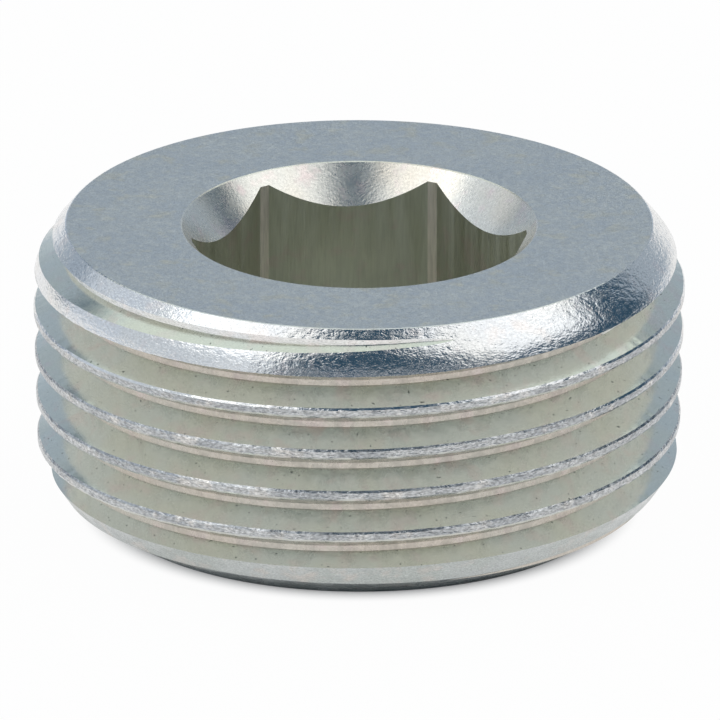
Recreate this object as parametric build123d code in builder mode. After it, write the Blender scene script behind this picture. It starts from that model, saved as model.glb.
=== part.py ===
from build123d import *

import os
from math import atan, ceil, degrees, radians, tan

# Hex socket plug with an R 3/4 taper thread, pressed and turned from one piece of steel.
# The axis is +Z.  The origin is the centre of the small end, which is the face that the plug
# stands on.  Two corners of the hexagon lie on the X axis.

# --- Taper pipe thread, 55 degree form, right hand ------------------------------------------
gauge_diameter = 26.441  # over the crests, at the gauge plane
gauge_height = 9.5  # gauge plane above the small end
diameter_taper = 1 / 16  # growth of the diameter along the axis
pitch = 1.8143  # 14 threads per inch
thread_angle = 55.0  # between the flanks
crest_width = 0.37  # flat left along each crest
root_width = 0.235  # flat at the bottom of the groove
cutter_overlap = 0.2  # how far the thread cutter stands out past the crests
groove_stop = 0.447  # the cutter leaves its helix this far below the large end
groove_stop_turn = 268.1  # and this far round from the X axis, in degrees
groove_run_out = 4.0  # length of the straight cut that it leaves on its way out

# --- Blank ------------------------------------------------------------------------------------
plug_length = 12.0
shoulder_height = 1.6  # chamfer of the large end, down to the crests
shoulder_angle = 40.0  # from the axis
shoulder_edge_break = 0.12  # flat that breaks the edge between the large end and its chamfer
shoulder_radius = 3.0  # between the chamfer and the crests
lead_chamfer_height = 1.4  # lead chamfer, from the end bevel up to the crests
lead_chamfer_angle = 34.0  # from the axis
end_bevel_height = 1.0  # bevel round the small end
end_bevel_angle = 60.0  # from the axis

# --- Hexagon socket ---------------------------------------------------------------------------
across_flats = 12.0
across_corners = 13.62  # over the small flats that cut the corners off
socket_depth = 7.0
mouth_diameter = 14.42
countersink_angle = 78.0

# --- Sizes that follow from them ------------------------------------------------------------
full_turn = 360
hexagon_sides = 6
corner_turn = full_turn / hexagon_sides / 2  # from a flat of the hexagon to its corner

taper_slope = diameter_taper / 2
taper_angle = degrees(atan(taper_slope))
flank_slope = tan(radians(thread_angle / 2))
thread_depth = (pitch - crest_width - root_width) / 2 / flank_slope
cutter_width = root_width + 2 * (thread_depth + cutter_overlap) * flank_slope


def crest_radius(height: float) -> float:
    """Radius over the crests at a height above the small end."""
    return gauge_diameter / 2 + (height - gauge_height) * taper_slope


def groove_section(height: float) -> list:
    """Corners of the thread cutter's section, as radius and height, with its middle at height."""
    root_radius = crest_radius(height) - thread_depth
    outer_radius = crest_radius(height) + cutter_overlap
    return [
        (root_radius, height - root_width / 2),
        (outer_radius, height - cutter_width / 2),
        (outer_radius, height + cutter_width / 2),
        (root_radius, height + root_width / 2),
    ]


shoulder_start = plug_length - shoulder_height
shoulder_foot = (crest_radius(shoulder_start), shoulder_start)
face_edge = (shoulder_foot[0] - shoulder_height * tan(radians(shoulder_angle)), plug_length)
lead_end = end_bevel_height + lead_chamfer_height
lead_foot = (crest_radius(lead_end), lead_end)
lead_narrowing = lead_chamfer_height * tan(radians(lead_chamfer_angle))
bevel_foot = (lead_foot[0] - lead_narrowing, end_bevel_height)
small_end_radius = bevel_foot[0] - end_bevel_height * tan(radians(end_bevel_angle))

countersink_height = mouth_diameter / 2 / tan(radians(countersink_angle / 2))

groove_end = plug_length - groove_stop
passes = ceil((groove_end + cutter_width / 2) / pitch)  # of one turn each, from below the plug
groove_start = groove_end - passes * pitch

with BuildPart() as plug:
    # Blank: a tapered disc with a rounded chamfer at its large end and a bevelled small end.
    with BuildSketch(Plane.XZ):
        with BuildLine():
            Polyline(
                (0, 0),
                (small_end_radius, 0),
                bevel_foot,
                lead_foot,
                shoulder_foot,
                face_edge,
                (0, plug_length),
                close=True,
            )
        make_face()
        chamfer(vertices().sort_by_distance(face_edge)[0], shoulder_edge_break)
        fillet(vertices().sort_by_distance(shoulder_foot)[0], shoulder_radius)
    revolve(axis=Axis.Z)

    # Socket: flat-bottomed hexagon with its corners cut off, and a countersunk mouth.
    with BuildSketch(Plane.XY.offset(plug_length)):
        RegularPolygon(across_flats / 2, hexagon_sides, major_radius=False)
        RegularPolygon(
            across_corners / 2,
            hexagon_sides,
            major_radius=False,
            rotation=corner_turn,
            mode=Mode.INTERSECT,
        )
    extrude(amount=-socket_depth, mode=Mode.SUBTRACT)
    with Locations((0, 0, plug_length - countersink_height / 2)):
        Cone(0, mouth_diameter / 2, countersink_height, mode=Mode.SUBTRACT)

    # Thread: the tapered helical groove is cut in passes of one turn, one above the other.
    for number in range(passes):
        start = groove_start + number * pitch
        with BuildLine() as groove_path:
            one_turn = Helix(
                pitch,
                pitch,
                crest_radius(start),
                center=(0, 0, start),
                cone_angle=taper_angle,
                mode=Mode.PRIVATE,
            )
            add(one_turn.rotate(Axis.Z, groove_stop_turn))
        with BuildSketch(Plane.XZ.rotated((0, 0, groove_stop_turn))):
            with BuildLine():
                Polyline(*groove_section(start), close=True)
            make_face()
        sweep(path=groove_path.line, is_frenet=True, mode=Mode.SUBTRACT)

    # Run-out: at the end of its helix the cutter leaves the blank along a straight tangent.
    with BuildSketch(Plane.XZ.rotated((0, 0, groove_stop_turn))):
        with BuildLine():
            Polyline(*groove_section(groove_end), close=True)
        make_face()
    extrude(amount=-groove_run_out, mode=Mode.SUBTRACT)

plug.part.label = "plug"

os.makedirs("parts", exist_ok=True)
export_step(plug.part, "parts/plug.step")
print(f"{passes} passes, volume {plug.part.volume:.1f} mm3, valid {plug.part.is_valid}")
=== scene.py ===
"""Hex socket plug in zinc plated steel: its dressed form, its finishes and a soft studio."""

import logging
from dataclasses import dataclass
from enum import Enum
from math import asin, atan2, ceil, cos, degrees, hypot, pi, radians, sin, tan

import bpy
from mathutils import Matrix, Vector


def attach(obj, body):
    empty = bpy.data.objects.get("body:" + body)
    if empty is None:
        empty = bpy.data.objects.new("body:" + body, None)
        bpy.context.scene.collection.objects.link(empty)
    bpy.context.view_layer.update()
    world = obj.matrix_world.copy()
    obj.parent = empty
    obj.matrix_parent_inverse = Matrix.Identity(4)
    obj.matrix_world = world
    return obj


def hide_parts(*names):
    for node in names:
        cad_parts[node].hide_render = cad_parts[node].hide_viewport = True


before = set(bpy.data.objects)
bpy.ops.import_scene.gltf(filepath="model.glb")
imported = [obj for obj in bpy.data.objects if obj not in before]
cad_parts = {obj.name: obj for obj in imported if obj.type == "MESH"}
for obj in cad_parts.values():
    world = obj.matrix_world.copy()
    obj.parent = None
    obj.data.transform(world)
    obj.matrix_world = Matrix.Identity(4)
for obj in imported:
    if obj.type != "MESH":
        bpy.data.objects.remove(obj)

logging.basicConfig(level=logging.INFO, format="%(message)s")
log = logging.getLogger("plug")

MM = 0.001  # metres in a millimetre
ROUND_STEPS = 480  # segments in a full turn of every round form
HEXAGON_SIDES = 6


class Trim(Enum):
    """What a tool solid does to the piece that it meets."""

    CUT_AWAY = "DIFFERENCE"
    KEEP_INSIDE = "INTERSECT"


def linear(colour: str) -> tuple[float, float, float, float]:
    """Turn an sRGB hex colour into linear values, by the straight foot and the power of sRGB.

    Args:
        colour: Six hex digits after a hash.

    Returns:
        Red, green, blue and an alpha of 1.
    """
    parts = [int(colour[i : i + 2], 16) / 255 for i in (1, 3, 5)]
    red, green, blue = (p / 12.92 if p <= 0.04045 else ((p + 0.055) / 1.055) ** 2.4 for p in parts)
    return red, green, blue, 1.0


def direction(azimuth: float, elevation: float) -> Vector:
    """Unit vector at an azimuth, 0 being -Y and 90 being +X, and an elevation, in degrees."""
    flat = cos(radians(elevation))
    return Vector((flat * sin(radians(azimuth)), -flat * cos(radians(azimuth)), sin(radians(elevation))))


def only(piece: bpy.types.Object) -> None:
    """Select one object alone and make it active.

    Args:
        piece: The object.
    """
    bpy.ops.object.select_all(action="DESELECT")
    piece.select_set(True)
    bpy.context.view_layer.objects.active = piece


def named(name: str) -> bpy.types.Object:
    """Name the active object and its mesh.

    Args:
        name: The name for both.

    Returns:
        The active object.
    """
    piece = bpy.context.object
    piece.name = name
    piece.data.name = name
    return piece


def settle(piece: bpy.types.Object) -> None:
    """Put an object's place, turn and size into its mesh."""
    only(piece)
    bpy.ops.object.transform_apply(location=True, rotation=True, scale=True)


def apply_modifier(piece: bpy.types.Object, kind: str, **settings: object) -> None:
    """Add a modifier to a piece and apply it.

    Args:
        piece: The object to change.
        kind: Blender's name for the modifier's type.
        **settings: The modifier's own settings.
    """
    only(piece)
    modifier = piece.modifiers.new(kind.title(), kind)
    for key, value in settings.items():
        setattr(modifier, key, value)
    bpy.ops.object.modifier_apply(modifier=modifier.name)


def combine(piece: bpy.types.Object, tool: bpy.types.Object, trim: Trim) -> None:
    """Trim a piece by a tool solid, and delete the tool."""
    apply_modifier(piece, "BOOLEAN", operation=trim.value, object=tool, solver="MANIFOLD")
    bpy.data.objects.remove(tool)


def roughen(piece: bpy.types.Object, group: str, size: float, height: float) -> None:
    """Push a group of vertices in and out by a fixed noise.

    Args:
        piece: The object to change.
        group: Name of the vertex group, which the noise takes too.
        size: Size of the noise's lumps, in millimetres.
        height: From the lowest to the highest point, in millimetres.
    """
    noise = bpy.data.textures.new(group, "CLOUDS")
    noise.noise_scale = size * MM
    noise.noise_depth = 3
    apply_modifier(
        piece,
        "DISPLACE",
        texture=noise,
        texture_coords="LOCAL",
        strength=height * MM,
        mid_level=0.5,
        vertex_group=group,
    )


# --- Form ---------------------------------------------------------------------------------------
# The axis is +Z, and the plug stands on its small end at the origin.


@dataclass
class TaperThread:
    """R 3/4 taper pipe thread of 55 degree form, right hand. Sizes are in millimetres."""

    gauge_diameter: float = 26.441  # over the crests, at the gauge plane
    gauge_height: float = 9.5  # gauge plane above the small end
    slope: float = 1 / 32  # growth of the radius along the axis
    pitch: float = 1.8143  # 14 threads per inch
    half_angle: float = 27.5  # of each flank, from a plane across the axis
    crest_width: float = 0.37
    root_width: float = 0.235
    overlap: float = 0.2  # how far the cutter stands out past the crests
    flank_rows: tuple[float, ...] = (0.0, 0.06, 0.5)  # corners up each flank, as shares of the depth
    stop_height: float = 11.593  # where the cutter leaves its helix
    stop_turn: float = 276.1  # and how far round from the X axis, in degrees
    run_out: float = 4.0  # length of the straight cut on its way out
    run_out_rise: float = 0.11  # lift of the cutter along that cut
    run_out_reach: float = 30.0  # the lift fades back over this length of the helix
    edge_break: float = 0.06  # break that handling and plating leave on the crest edges
    edge_lumps: float = 0.3  # size of the ragged lumps along the crest edges
    edge_wander: float = 0.06  # how far the crest edges wander, from low to high
    edge_group: str = "crest_edges"

    @property
    def depth(self) -> float:
        """Depth of the groove below the crests."""
        flanks = self.pitch - self.crest_width - self.root_width
        return flanks / 2 / tan(radians(self.half_angle))

    def crest_radius(self, height: float) -> float:
        """Radius over the crests at a height above the small end."""
        return self.gauge_diameter / 2 + (height - self.gauge_height) * self.slope

    def section(self) -> list[tuple[float, float]]:
        """Work out the cutter's section at the gauge plane, with a break at each crest edge.

        Returns:
            Radius and height of each corner, the height counted from the groove's middle.
        """
        crest = self.gauge_diameter / 2
        run = tan(radians(self.half_angle))
        upper = []
        for share in self.flank_rows:
            climb = self.depth * share
            upper.append((crest - self.depth + climb, self.root_width / 2 + climb * run))
        climb = self.depth - self.edge_break
        upper.append((crest - self.edge_break, self.root_width / 2 + climb * run))
        mouth = self.root_width / 2 + self.depth * run + self.edge_break
        upper.append((crest, mouth))
        upper.append((crest + self.overlap, mouth + self.edge_break))
        lower = [(radius, -height) for radius, height in reversed(upper)]
        return lower + upper

    def cutter(self) -> bpy.types.Object:
        """Model the tapered helical cutter with its straight run-out.

        Returns:
            A closed solid, to be cut from the blank.
        """
        piece = self.wind()
        self.lead_out(piece)
        roughen(piece, self.edge_group, self.edge_lumps, self.edge_wander)
        piece.rotation_euler.z = radians(self.stop_turn)
        settle(piece)
        return piece

    def wind(self) -> bpy.types.Object:
        """Wind the section up a straight helix from below the plug, and taper the helix.

        Returns:
            The helical cutter, open at both ends.
        """
        turns = ceil(self.stop_height / self.pitch) + 1
        start = self.stop_height - turns * self.pitch
        corners = self.section()
        growth = self.slope / (self.gauge_diameter / 2)
        foot_share = 1 - growth * self.gauge_height
        edge_start = self.gauge_diameter / 2 - 2 * self.edge_break
        bpy.ops.object.select_all(action="DESELECT")
        bpy.ops.mesh.primitive_circle_add(vertices=len(corners), radius=MM)
        piece = named("groove_cutter")
        edges = piece.vertex_groups.new(name=self.edge_group)
        for vertex, (radius, height) in zip(piece.data.vertices, corners):
            vertex.co = (radius * foot_share * MM, 0, (start + height) * MM)
            if radius > edge_start:
                edges.add([vertex.index], 1.0, "REPLACE")
        apply_modifier(
            piece,
            "SCREW",
            axis="Z",
            angle=2 * pi,
            screw_offset=self.pitch * MM,
            iterations=turns,
            steps=ROUND_STEPS,
            render_steps=ROUND_STEPS,
            use_smooth_shade=False,
        )
        heights = [vertex.co.z for vertex in piece.data.vertices]
        tall = max(heights) - min(heights)
        taper = growth / foot_share * tall / MM
        apply_modifier(piece, "SIMPLE_DEFORM", deform_method="TAPER", deform_axis="Z", factor=taper)
        return piece

    def lead_out(self, piece: bpy.types.Object) -> None:
        """Close the cutter's ends and draw the upper one out along a straight tangent.

        The drawn end is lifted, and the lift fades back along the helix, so that the groove
        grows shallow before the cutter leaves.

        Args:
            piece: The helical cutter.
        """
        only(piece)
        bpy.ops.object.mode_set(mode="EDIT")
        bpy.ops.mesh.select_all(action="SELECT")
        bpy.ops.mesh.fill_holes(sides=0)
        bpy.ops.mesh.select_all(action="DESELECT")
        bpy.ops.object.mode_set(mode="OBJECT")
        corner_count = len(self.section())
        caps = [face for face in piece.data.polygons if len(face.vertices) == corner_count]
        max(caps, key=lambda face: face.center.z).select = True
        bpy.ops.object.mode_set(mode="EDIT")
        bpy.ops.mesh.select_mode(type="FACE")
        bpy.ops.mesh.extrude_region_move(TRANSFORM_OT_translate={"value": (0, self.run_out * MM, 0)})
        bpy.ops.transform.translate(
            value=(self.run_out_rise * MM, 0, 0),
            use_proportional_edit=True,
            use_proportional_connected=True,
            proportional_edit_falloff="SMOOTH",
            proportional_size=self.run_out_reach * MM,
        )
        bpy.ops.mesh.select_all(action="SELECT")
        bpy.ops.mesh.normals_make_consistent(inside=False)
        bpy.ops.object.mode_set(mode="OBJECT")


@dataclass
class Blank:
    """Turned blank: a tapered disc with a rounded chamfer above and a two-step one below.

    Sizes are in millimetres, and angles are in degrees from the axis.
    """

    thread: TaperThread
    length: float = 12.0
    shoulder_height: float = 1.6
    shoulder_angle: float = 40.0
    edge_break: float = 0.03  # of the large end's edge
    shoulder_radius: float = 3.0  # between the chamfer and the crests
    round_steps: int = 14  # rings in that rounding
    lead_height: float = 1.4
    lead_angle: float = 34.0
    bevel_height: float = 1.0
    bevel_angle: float = 60.0
    wall_rows: int = 24  # rings in the tapered wall

    @property
    def lead_end(self) -> float:
        """Height at which the lead chamfer meets the crests."""
        return self.bevel_height + self.lead_height

    @property
    def shoulder_foot(self) -> float:
        """Height at which the shoulder's chamfer would meet the crests without its rounding."""
        return self.length - self.shoulder_height

    def rounding(self) -> list[tuple[float, float]]:
        """Work out the arc that joins the tapered wall to the shoulder's chamfer.

        Returns:
            Radius and height of each ring, upwards.
        """
        lean = degrees(asin(self.thread.slope))
        turn = self.shoulder_angle + lean
        reach = self.shoulder_radius * tan(radians(turn / 2))
        start_radius = self.thread.crest_radius(self.shoulder_foot) - reach * sin(radians(lean))
        start_height = self.shoulder_foot - reach * cos(radians(lean))
        centre_radius = start_radius - self.shoulder_radius * cos(radians(lean))
        centre_height = start_height + self.shoulder_radius * sin(radians(lean))
        rings = []
        for step in range(self.round_steps + 1):
            angle = radians(turn * step / self.round_steps - lean)
            radius = centre_radius + self.shoulder_radius * cos(angle)
            rings.append((radius, centre_height + self.shoulder_radius * sin(angle)))
        return rings

    def profile(self) -> list[tuple[float, float]]:
        """Work out the blank's outline.

        Returns:
            Radius and height of each ring, from the small end up to the large end's edge.
        """
        lead_radius = self.thread.crest_radius(self.lead_end)
        bevel_radius = lead_radius - self.lead_height * tan(radians(self.lead_angle))
        small_radius = bevel_radius - self.bevel_height * tan(radians(self.bevel_angle))
        rounding = self.rounding()
        wall_height = rounding[0][1] - self.lead_end
        rings = [(small_radius, 0.0), (bevel_radius, self.bevel_height)]
        for row in range(self.wall_rows):
            height = self.lead_end + wall_height * row / self.wall_rows
            rings.append((self.thread.crest_radius(height), height))
        rings += rounding
        angle = radians(self.shoulder_angle)
        edge_radius = self.thread.crest_radius(self.shoulder_foot) - self.shoulder_height * tan(angle)
        break_radius = edge_radius + self.edge_break * sin(angle)
        rings.append((break_radius, self.length - self.edge_break * cos(angle)))
        rings.append((edge_radius - self.edge_break, self.length))
        return rings

    def build(self) -> bpy.types.Object:
        """Draw the outline's rings up from a disc, one after the other.

        Returns:
            The closed blank.
        """
        rings = self.profile()
        radius, height = rings[0]
        bpy.ops.object.select_all(action="DESELECT")
        bpy.ops.mesh.primitive_circle_add(
            vertices=ROUND_STEPS, radius=radius * MM, fill_type="NGON", location=(0, 0, height * MM)
        )
        piece = named("plug_body")
        settle(piece)
        bpy.ops.object.mode_set(mode="EDIT")
        bpy.ops.mesh.select_mode(type="FACE")
        bpy.ops.mesh.select_all(action="SELECT")
        for next_radius, next_height in rings[1:]:
            climb = (0, 0, (next_height - height) * MM)
            bpy.ops.mesh.extrude_region_move(TRANSFORM_OT_translate={"value": climb})
            share = next_radius / radius
            bpy.ops.transform.resize(value=(share, share, 1), center_override=(0, 0, next_height * MM))
            radius, height = next_radius, next_height
        bpy.ops.mesh.select_all(action="SELECT")
        bpy.ops.mesh.normals_make_consistent(inside=False)
        bpy.ops.object.mode_set(mode="OBJECT")
        return piece


@dataclass
class HexSocket:
    """Pressed hexagon with its corners cut off, and a countersunk mouth.

    Sizes are in millimetres, and angles are in degrees from the axis.
    """

    top: float  # height of the large end, into which the socket is cut
    across_flats: float = 12.0
    across_corners: float = 13.62  # over the small flats that cut the corners off
    corner_turn: float = 30.0  # brings two corners of the hexagon onto the X axis
    depth: float = 7.0
    mouth_diameter: float = 14.42
    half_angle: float = 39.0  # of the countersink
    mouth_break: float = 0.03  # a second cone widens the mouth by this, to break its rim
    break_angle: float = 60.0  # half angle of that cone
    clearance: float = 1.0  # how far each tool stands out of the mouth

    @property
    def floor(self) -> float:
        """Height of the socket's floor."""
        return self.top - self.depth

    def prism(self, name: str, across: float, turn: float) -> bpy.types.Object:
        """Model a hexagonal prism that stands in the socket and out of its mouth.

        Args:
            name: Name of the prism.
            across: Distance across its flats.
            turn: Turn about the axis, in degrees.

        Returns:
            The prism.
        """
        tall = self.depth + self.clearance
        bpy.ops.object.select_all(action="DESELECT")
        bpy.ops.mesh.primitive_cylinder_add(
            vertices=HEXAGON_SIDES,
            radius=across / 2 / cos(pi / HEXAGON_SIDES) * MM,
            depth=tall * MM,
            location=(0, 0, (self.floor + tall / 2) * MM),
            rotation=(0, 0, radians(turn)),
        )
        piece = named(name)
        settle(piece)
        return piece

    def cone(self, name: str, radius: float, half_angle: float) -> bpy.types.Object:
        """Model a cone that stands on its point. The countersink's reaches below the floor.

        Args:
            name: Name of the cone.
            radius: Its radius at the large end's face.
            half_angle: Angle from its axis, in degrees.

        Returns:
            The cone.
        """
        slope = tan(radians(half_angle))
        below = radius / slope
        bpy.ops.object.select_all(action="DESELECT")
        bpy.ops.mesh.primitive_cone_add(
            vertices=ROUND_STEPS,
            radius1=0,
            radius2=(radius + self.clearance * slope) * MM,
            depth=(below + self.clearance) * MM,
            location=(0, 0, (self.top + (self.clearance - below) / 2) * MM),
        )
        piece = named(name)
        settle(piece)
        return piece

    def cut(self, piece: bpy.types.Object) -> None:
        """Cut the socket into the plug's large end.

        Args:
            piece: The plug.
        """
        hexagon = self.prism("hexagon_punch", self.across_flats, self.corner_turn)
        combine(hexagon, self.prism("corner_cut", self.across_corners, 0), Trim.KEEP_INSIDE)
        combine(piece, hexagon, Trim.CUT_AWAY)
        mouth = self.mouth_diameter / 2
        combine(piece, self.cone("countersink", mouth, self.half_angle), Trim.CUT_AWAY)
        combine(piece, self.cone("rim", mouth + self.mouth_break, self.break_angle), Trim.CUT_AWAY)


# --- Finish -------------------------------------------------------------------------------------


def add_node(
    tree: bpy.types.NodeTree,
    kind: str,
    inputs: dict[str | int, object] | None = None,
    **settings: object,
) -> bpy.types.Node:
    """Add a node, with its settings, values and links.

    Args:
        tree: The node tree to add to.
        kind: Blender's name for the node's type.
        inputs: Value or linked socket for each input, by name or number.
        **settings: The node's own settings.

    Returns:
        The new node.
    """
    node = tree.nodes.new(kind)
    for key, value in settings.items():
        setattr(node, key, value)
    for key, value in (inputs or {}).items():
        if isinstance(value, bpy.types.NodeSocket):
            tree.links.new(value, node.inputs[key])
        else:
            node.inputs[key].default_value = value
    return node


NOISE_FALL = 0.55  # strength of each finer layer of a noise, as a share of the one before


@dataclass(frozen=True)
class Patches:
    """Soft patches of a colour, laid where a noise runs high.

    The colour starts to show where the noise passes the low level, and is full from the high
    level. The size of the noise's lumps is in millimetres.
    """

    size: float
    detail: int
    low: float
    high: float

    def lay(
        self, tree: bpy.types.NodeTree, place: bpy.types.NodeSocket, under: object, colour: str
    ) -> bpy.types.NodeSocket:
        """Lay the patches over a colour.

        Args:
            tree: The material's node tree.
            place: The position, in millimetres.
            under: The colour below, as linear values or a socket.
            colour: The patches' own colour, in sRGB hex.

        Returns:
            The mixed colour.
        """
        lumps = {"Vector": place, "Scale": 1 / self.size, "Detail": self.detail, "Roughness": NOISE_FALL}
        noise = add_node(tree, "ShaderNodeTexNoise", lumps).outputs["Fac"]
        levels = {"Value": noise, "From Min": self.low, "From Max": self.high}
        share = add_node(tree, "ShaderNodeMapRange", levels, interpolation_type="SMOOTHSTEP").outputs[0]
        # Inputs 6 and 7 and output 2 of a Mix node are the ones for colours.
        colours = {0: share, 6: under, 7: linear(colour)}
        return add_node(tree, "ShaderNodeMix", colours, data_type="RGBA").outputs[2]


LUMP_LEVELS = (0.35, 0.65)  # the roughness rises between these levels of the lumps
GRAIN_LEVELS = (0.3, 0.7)  # the colour grows lighter between these levels of the grain
TINT_DRIFT = Patches(3.2, 2, 0.4, 0.62)  # the film's thickness drifts over a few millimetres
BLUSH_CLOUDS = Patches(1.1, 3, 0.52, 0.7)  # with smaller clouds in between
PIT_SIZE = 0.13  # in millimetres
PIT_LEVELS = (0.8, 0.88)  # the noise reaches these hardly ever; a finish with pits lowers both
PIT_COLOUR = "#6E7571"


@dataclass(frozen=True)
class ZincPlate:
    """Zinc plating with a clear blue passivation over steel of one surface roughness.

    Sizes are in millimetres. The plating is crystalline, so it glitters in fine grains: they
    are about 0.01 mm wide, which is too fine to show, and are drawn about ten times as coarse.
    The passivation film tints the zinc faintly, and the tint drifts from green to yellow, pink
    and blue. The steel below has low lumps from how it was formed.
    """

    name: str
    base: str
    tint: str
    blush: str
    roughness: float
    rough_spread: float = 0.1
    grain: float = 0.09
    grain_height: float = 0.004
    lumps: float = 0.5
    lump_height: float = 0.01
    speckle: float = 0.12  # how far single grains go lighter and darker, as a share
    pits: float = 0.0  # how far the levels of the pits are lowered
    drawn: tuple[float, float, float] = (1.0, 1.0, 1.0)  # finer along an axis over 1, longer under 1

    def material(self) -> bpy.types.Material:
        """Build the finish as a material.

        Returns:
            The material, with the finish's name.
        """
        material = bpy.data.materials.new(self.name)
        material.use_nodes = True
        tree = material.node_tree
        tree.nodes.clear()
        metres = add_node(tree, "ShaderNodeTexCoord").outputs["Object"]
        millimetres = {0: metres, 1: (1 / MM, 1 / MM, 1 / MM)}
        place = add_node(tree, "ShaderNodeVectorMath", millimetres, operation="MULTIPLY").outputs[0]
        stretched = {0: place, 1: self.drawn}
        drawn = add_node(tree, "ShaderNodeVectorMath", stretched, operation="MULTIPLY").outputs[0]
        lumps, grain = (
            add_node(
                tree,
                "ShaderNodeTexNoise",
                {"Vector": drawn, "Scale": 1 / size, "Detail": detail, "Roughness": NOISE_FALL},
            ).outputs["Fac"]
            for size, detail in ((self.lumps, 3), (self.grain, 2))
        )
        fleck, rough = (
            add_node(
                tree,
                "ShaderNodeMapRange",
                {
                    "Value": noise,
                    "From Min": levels[0],
                    "From Max": levels[1],
                    "To Min": middle - spread,
                    "To Max": middle + spread,
                },
            ).outputs[0]
            for noise, levels, middle, spread in (
                (grain, GRAIN_LEVELS, 1, self.speckle),
                (lumps, LUMP_LEVELS, self.roughness, self.rough_spread),
            )
        )
        tinted = TINT_DRIFT.lay(tree, place, linear(self.base), self.tint)
        blushed = BLUSH_CLOUDS.lay(tree, place, tinted, self.blush)
        flecked = {0: blushed, "Scale": fleck}
        colour = add_node(tree, "ShaderNodeVectorMath", flecked, operation="SCALE").outputs[0]
        if self.pits:
            low, high = (level - self.pits for level in PIT_LEVELS)
            colour = Patches(PIT_SIZE, 0, low, high).lay(tree, place, colour, PIT_COLOUR)
        dents = {"Height": lumps, "Distance": self.lump_height * MM, "Strength": 1.0}
        dented = add_node(tree, "ShaderNodeBump", dents).outputs[0]
        grains = {"Height": grain, "Distance": self.grain_height * MM, "Strength": 1.0, "Normal": dented}
        grained = add_node(tree, "ShaderNodeBump", grains).outputs[0]
        zinc = {"Base Color": colour, "Metallic": 1.0, "Roughness": rough, "Normal": grained}
        shader = add_node(tree, "ShaderNodeBsdfPrincipled", zinc)
        add_node(tree, "ShaderNodeOutputMaterial", {"Surface": shader.outputs[0]})
        return material


class Zone(Enum):
    """The places on the plug that look different from one another."""

    FACE = "face"
    SHOULDER = "shoulder"
    CREST = "crest"
    UPPER_FLANK = "upper_flank"
    LOWER_FLANK = "lower_flank"
    ROOT = "root"
    LEAD = "lead"
    COUNTERSINK = "countersink"
    SOCKET_WALL = "socket_wall"
    SOCKET_CORNER = "socket_corner"
    BASE = "base"


FINISHES = {
    # Pressed flat: matt, blue-grey and even, with a fine glitter.
    Zone.FACE: ZincPlate(
        "zinc_matt_face", "#D2D5D7", "#D6D8D8", "#DAD8D0", 0.4,
        grain=0.07, grain_height=0.006, lumps=0.22, lump_height=0.004, speckle=0.16,
    ),
    # Tumbled bright: mirrors the room sharply, broken up by small hammered dents.
    Zone.SHOULDER: ZincPlate(
        "zinc_bright_shoulder", "#DEE0E2", "#E1E1DF", "#E4E0DE", 0.14,
        grain=0.12, grain_height=0.011, lumps=0.32, lump_height=0.026, drawn=(1.0, 1.0, 2.0),
    ),
    # Torn by the thread cutter and tumbled: a coarse grey with bright and dark flecks.
    Zone.CREST: ZincPlate(
        "zinc_torn_crest", "#BCBEBF", "#A9ACAF", "#CBC9C6", 0.26,
        grain=0.16, grain_height=0.022, lumps=0.6, lump_height=0.07, speckle=0.4,
        drawn=(1.0, 1.0, 2.4),
    ),
    # Cut smooth, and turned to the light: soft mirrors with the film's green and a few pits.
    Zone.UPPER_FLANK: ZincPlate(
        "zinc_upper_flank", "#DDE1DB", "#DFE1D7", "#E0DCD6", 0.2,
        rough_spread=0.02, grain_height=0.002, lump_height=0.003, speckle=0.08, pits=0.02,
        drawn=(1.0, 1.0, 4.0),
    ),
    # Cut smooth, and turned away from the light: the same film as the upper flank, with painted shade in
    # its darker, greyer colour.
    Zone.LOWER_FLANK: ZincPlate(
        "zinc_lower_flank_painted_shade", "#C4C6C1", "#C4C5BE", "#C6C2BD", 0.22, speckle=0.03,
    ),
    # The film pools along the bottom of the groove and turns beige there.
    Zone.ROOT: ZincPlate(
        "zinc_thread_root", "#C3BEB5", "#C5BDB3", "#C7BDB7", 0.28, speckle=0.1,
    ),
    # Turned roughly: a darker grey with faint bands round it.
    Zone.LEAD: ZincPlate(
        "zinc_lead_chamfer", "#B8BCBB", "#B0B5B2", "#BEBBB6", 0.27,
        lumps=0.7, lump_height=0.03, speckle=0.2, drawn=(1.0, 1.0, 2.6),
    ),
    # Cut and tumbled: bright with a warm film and a soft edge to what it mirrors.
    Zone.COUNTERSINK: ZincPlate(
        "zinc_countersink", "#E2E1DA", "#E6E0D4", "#E8DCD8", 0.27,
        rough_spread=0.02, grain=0.1, grain_height=0.006, lump_height=0.002,
    ),
    # Drawn by the punch: satin, olive where the film is thick, with streaks down the walls.
    Zone.SOCKET_WALL: ZincPlate(
        "zinc_socket_wall", "#CED0C3", "#D1D2C5", "#D3CCC4", 0.42,
        speckle=0.07, drawn=(1.0, 1.0, 0.08),
    ),
    # Scraped by the punch's edges: paler and more matt than the walls beside it.
    Zone.SOCKET_CORNER: ZincPlate(
        "zinc_socket_corner", "#E2DBD2", "#E0DCD1", "#E2D8D2", 0.5, drawn=(1.0, 1.0, 0.08),
    ),
    # Left as pressed: plain, matt and grey.
    Zone.BASE: ZincPlate("zinc_matt_base", "#C4C9C6", "#C0C5C0", "#CAC7BF", 0.4),
}


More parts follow.
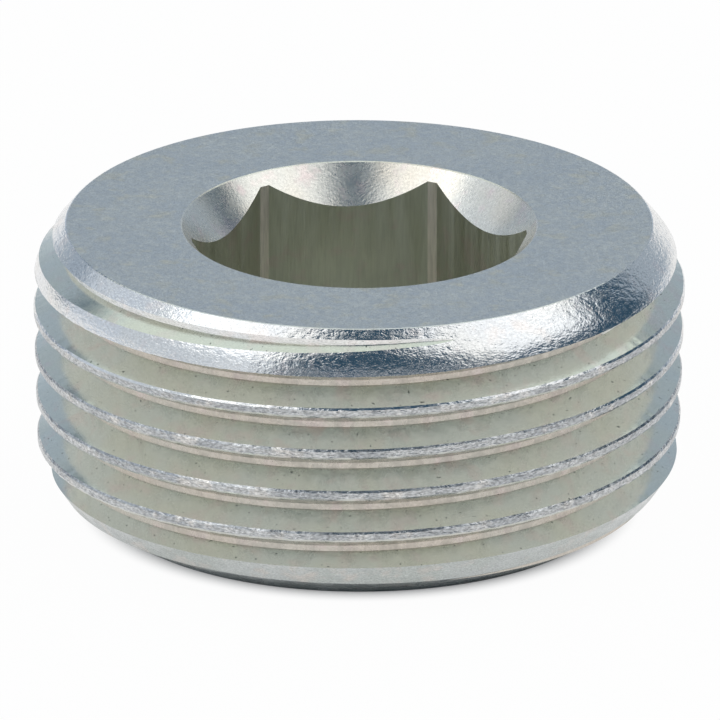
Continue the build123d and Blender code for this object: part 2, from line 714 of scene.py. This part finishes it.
@dataclass(frozen=True)
class ZoneLimits:
    """Limits between the places on the plug.

    They are in millimetres, and in degrees that a face's normal rises above the horizon.
    """

    level_rise: float = 85.0  # the flat ends rise or sink more than this
    flank_rise: float = 52.0  # the upper flanks rise more, at 62.5 degrees, and the shoulder less
    lower_rise: float = 50.0  # the lower flanks sink more than this
    upright_rise: float = 20.0  # crests, roots and walls rise or sink less than this
    skin: float = 0.02  # allowance on a height
    edge_skin: float = 0.1  # steep faces this near the top are the shoulder's broken edge
    crest_skin: float = 0.25  # crests lie no deeper than this
    crest_margin: float = 0.4  # crests end this far below the shoulder's foot
    mouth_skin: float = 0.1  # the socket's faces end this far past its mouth
    socket_foot: float = 2.0  # all the socket's faces lie above this height
    countersink_foot: float = 1.0  # the countersink lies more than this above the floor
    wall_heading: float = 30.0  # of a wall's normal, within a sixth of a turn, in degrees
    wall_slack: float = 10.0  # allowance on that heading


@dataclass
class Plug:
    """The whole plug: blank, thread and socket, and the finish of each place on it."""

    thread: TaperThread
    blank: Blank
    socket: HexSocket
    limits: ZoneLimits = ZoneLimits()
    name: str = "threaded_plug"
    smooth_angle: float = 20.0  # faces at a smaller angle are shaded as one surface
    merge_distance: float = 0.0001  # vertices closer than this become one, in millimetres

    def build(self) -> bpy.types.Object:
        """Model and dress the plug.

        Returns:
            The finished plug.
        """
        piece = self.blank.build()
        combine(piece, self.thread.cutter(), Trim.CUT_AWAY)
        self.socket.cut(piece)
        only(piece)
        bpy.ops.object.mode_set(mode="EDIT")
        bpy.ops.mesh.select_all(action="SELECT")
        bpy.ops.mesh.remove_doubles(threshold=self.merge_distance * MM)
        bpy.ops.mesh.normals_make_consistent(inside=False)
        bpy.ops.object.mode_set(mode="OBJECT")
        bpy.ops.object.shade_smooth_by_angle(angle=radians(self.smooth_angle))
        named(self.name)
        self.dress(piece)
        return piece

    def zone(self, face: bpy.types.MeshPolygon) -> Zone:
        """Tell which place on the plug a face belongs to, by its position and its slope.

        Args:
            face: A face of the plug.

        Returns:
            The place.
        """
        limits = self.limits
        x, y, z = (value / MM for value in face.center)
        radius = hypot(x, y)
        rise = degrees(asin(max(-1.0, min(1.0, face.normal.z))))
        if rise > limits.level_rise and z > self.blank.length - limits.skin:
            return Zone.FACE
        if radius < self.socket.mouth_diameter / 2 + limits.mouth_skin and z > limits.socket_foot:
            heading = degrees(atan2(face.normal.y, face.normal.x))
            return self.socket_zone(z, rise, heading % (360 / HEXAGON_SIDES))
        if rise < -limits.level_rise:
            return Zone.BASE
        return self.thread_zone(radius, z, rise)

    def socket_zone(self, z: float, rise: float, heading: float) -> Zone:
        """Tell which place in the socket a face belongs to.

        Args:
            z: Height of the face, in millimetres.
            rise: Rise of its normal, in degrees.
            heading: Heading of its normal within a sixth of a turn, in degrees.

        Returns:
            The place.
        """
        limits = self.limits
        if rise > limits.upright_rise:
            above = z > self.socket.floor + limits.countersink_foot
            return Zone.COUNTERSINK if above else Zone.SOCKET_WALL
        on_wall = abs(heading - limits.wall_heading) < limits.wall_slack
        return Zone.SOCKET_WALL if on_wall else Zone.SOCKET_CORNER

    def thread_zone(self, radius: float, z: float, rise: float) -> Zone:
        """Tell which place round the plug a face belongs to.

        Args:
            radius: Distance of the face from the axis, in millimetres.
            z: Height of the face, in millimetres.
            rise: Rise of its normal, in degrees.

        Returns:
            The place.
        """
        blank, limits = self.blank, self.limits
        if rise > limits.flank_rise:
            return Zone.SHOULDER if z > blank.length - limits.edge_skin else Zone.UPPER_FLANK
        # faces that sink take the lower flank's finish, whose darker colour is painted shade
        if rise < -limits.lower_rise and z > blank.bevel_height + limits.skin:
            return Zone.LOWER_FLANK
        if rise < -limits.upright_rise and z < blank.lead_end:
            return Zone.LEAD
        if abs(rise) < limits.upright_rise and z < blank.shoulder_foot - limits.crest_margin:
            on_crest = radius > self.thread.crest_radius(z) - limits.crest_skin
            return Zone.CREST if on_crest else Zone.ROOT
        if z > blank.shoulder_foot - blank.shoulder_radius:
            return Zone.SHOULDER if rise > -limits.upright_rise else Zone.LOWER_FLANK
        return Zone.CREST if rise > 0 else Zone.LOWER_FLANK

    def dress(self, piece: bpy.types.Object) -> None:
        """Give each face the finish of its place, and put the plug in the solid's stead.

        Args:
            piece: The plug.
        """
        order = list(Zone)
        piece.data.materials.clear()
        for zone in order:
            piece.data.materials.append(FINISHES[zone].material())
        for face in piece.data.polygons:
            face.material_index = order.index(self.zone(face))
        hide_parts("plug")
        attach(piece, "root")


# --- Studio -------------------------------------------------------------------------------------


@dataclass(frozen=True)
class Panel:
    """A soft light panel that faces the plug.

    Azimuth 0 is in front of the plug and 90 is on its right, in degrees. Sizes are in metres.
    """

    name: str
    azimuth: float
    elevation: float
    width: float
    height: float
    glow: float  # its brightness where metal mirrors it: 1 is white
    colour: str
    distance: float = 0.5

    def build(self, front: float) -> None:
        """Hang the panel out of the camera's sight.

        Args:
            front: Azimuth of the viewing side, in degrees.
        """
        data = bpy.data.lights.new(self.name, "AREA")
        data.shape = "RECTANGLE"
        data.size = self.width
        data.size_y = self.height
        data.energy = pi * self.glow * self.width * self.height
        data.color = linear(self.colour)[:3]
        panel = bpy.data.objects.new(self.name, data)
        bpy.context.collection.objects.link(panel)
        toward = direction(front + self.azimuth, self.elevation)
        panel.location = toward * self.distance
        panel.rotation_euler = toward.to_track_quat("Z", "Y").to_euler()
        panel.visible_camera = False


@dataclass
class Studio:
    """Pale floor, soft panels and the camera. Angles are in degrees."""

    front: float = -4.25  # azimuth of the camera
    elevation: float = 20.86
    roll: float = 0.16
    frame_width: float = 29.188  # what the camera takes in, in millimetres
    aim: tuple[float, float, float] = (0.05, -1.957, 6.865)  # in millimetres, turned with the front
    distance: float = 0.3  # of the camera, in metres
    clip_range: tuple[float, float] = (0.01, 10.0)  # as shares of that distance
    floor_size: float = 6.0  # in metres
    floor_colour: str = "#F2F2F2"
    shadow_reach: tuple[float, float] = (9.6, 11.6)  # radii over which it fades, in millimetres
    mirrored_shadow: float = 1.0  # the metal mirrors it wider by this, so that the bevel stays dark
    whiteness: float = 0.97  # share of the floor's white that glows, so that it doesn't clip
    room: str = "#3A5468"
    panels: tuple[Panel, ...] = (
        Panel("back_left", 212, 16, 0.3, 0.28, 0.47, "#E6ECF4"),
        Panel("back_middle", 180, 16, 0.29, 0.28, 0.5, "#E6ECF4"),
        Panel("back_right", 145, 17, 0.36, 0.32, 0.44, "#E6ECF4"),
        Panel("top_panel", 180, 68, 1.0, 0.46, 0.8, "#FCFFF4"),
        Panel("left_panel", -58, 56, 0.36, 0.36, 1.24, "#FFFCF8"),
        Panel("right_panel", 73, 50, 0.44, 0.42, 1.18, "#FFFCF8"),
        Panel("front_strip", 0, 21, 1.2, 0.06, 0.65, "#F6F1EE"),
        Panel("left_wall", -80, 20, 1.0, 0.55, 0.68, "#F6F8FC"),
    )

    def build(self) -> None:
        """Set up the floor, the lights, the room and the camera."""
        self.lay_floor()
        for panel in self.panels:
            panel.build(self.front)
        world = bpy.data.worlds.new("studio_room")
        bpy.context.scene.world = world
        world.use_nodes = True
        world.node_tree.nodes["Background"].inputs["Color"].default_value = linear(self.room)
        self.place_camera()
        bpy.context.scene.view_settings.view_transform = "Standard"

    def lay_floor(self) -> None:
        """Lay the floor that the plug stands on."""
        bpy.ops.object.select_all(action="DESELECT")
        bpy.ops.mesh.primitive_plane_add(size=self.floor_size)
        floor = named("floor")
        floor.data.materials.append(self.paper())

    def paper(self) -> bpy.types.Material:
        """Build the floor's white paper, which keeps a faint shadow of the plug.

        The camera and the metal's mirroring see it glow white past the plug's shadow. For all
        other light it is plain paper, so that it throws no more light on the plug than paper does.

        Returns:
            The material.
        """
        material = bpy.data.materials.new("white_paper")
        material.use_nodes = True
        tree = material.node_tree
        tree.nodes.clear()
        path = add_node(tree, "ShaderNodeLightPath").outputs
        rays = {0: path["Is Glossy Ray"], 1: path["Is Transmission Ray"]}
        mirrored = add_node(tree, "ShaderNodeMath", rays, operation="MAXIMUM").outputs[0]
        rays = {0: path["Is Camera Ray"], 1: mirrored}
        seen = add_node(tree, "ShaderNodeMath", rays, operation="MAXIMUM").outputs[0]
        place = add_node(tree, "ShaderNodeTexCoord").outputs["Object"]
        radius = add_node(tree, "ShaderNodeVectorMath", {0: place}, operation="LENGTH").outputs["Value"]
        widening = {0: mirrored, 1: self.mirrored_shadow * MM}
        wider = add_node(tree, "ShaderNodeMath", widening, operation="MULTIPLY").outputs[0]
        reach = add_node(tree, "ShaderNodeMath", {0: radius, 1: wider}, operation="SUBTRACT").outputs[0]
        start, end = (limit * MM for limit in self.shadow_reach)
        fade = {"Value": reach, "From Min": start, "From Max": end, "To Max": self.whiteness}
        clear = add_node(tree, "ShaderNodeMapRange", fade, interpolation_type="SMOOTHSTEP").outputs[0]
        share = add_node(tree, "ShaderNodeMath", {0: seen, 1: clear}, operation="MULTIPLY").outputs[0]
        plain = add_node(tree, "ShaderNodeBsdfDiffuse", {"Color": linear(self.floor_colour)}).outputs[0]
        glow = add_node(tree, "ShaderNodeEmission", {"Strength": 1.0}).outputs[0]
        mixed = add_node(tree, "ShaderNodeMixShader", {0: share, 1: plain, 2: glow}).outputs[0]
        add_node(tree, "ShaderNodeOutputMaterial", {"Surface": mixed})
        return material

    def place_camera(self) -> None:
        """Stand a camera without perspective at the viewing side, as a very long lens sees."""
        data = bpy.data.cameras.new("camera")
        data.type = "ORTHO"
        data.ortho_scale = self.frame_width * MM
        data.clip_start, data.clip_end = (share * self.distance for share in self.clip_range)
        camera = bpy.data.objects.new("camera", data)
        bpy.context.collection.objects.link(camera)
        aim = Matrix.Rotation(radians(self.front), 4, "Z") @ Vector(self.aim) * MM
        toward = direction(self.front, self.elevation)
        camera.location = aim + toward * self.distance
        turn = toward.to_track_quat("Z", "Y").to_matrix() @ Matrix.Rotation(radians(self.roll), 3, "Z")
        camera.rotation_euler = turn.to_euler()
        bpy.context.scene.camera = camera


def main() -> None:
    """Build the plug and its studio."""
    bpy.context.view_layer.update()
    thread = TaperThread()
    blank = Blank(thread)
    plug = Plug(thread, blank, HexSocket(blank.length)).build()
    log.info("%s: %d faces", plug.name, len(plug.data.polygons))
    studio = Studio()
    studio.build()
    log.info("studio: floor, camera and %d panels", len(studio.panels))


if __name__ == "__main__":
    main()
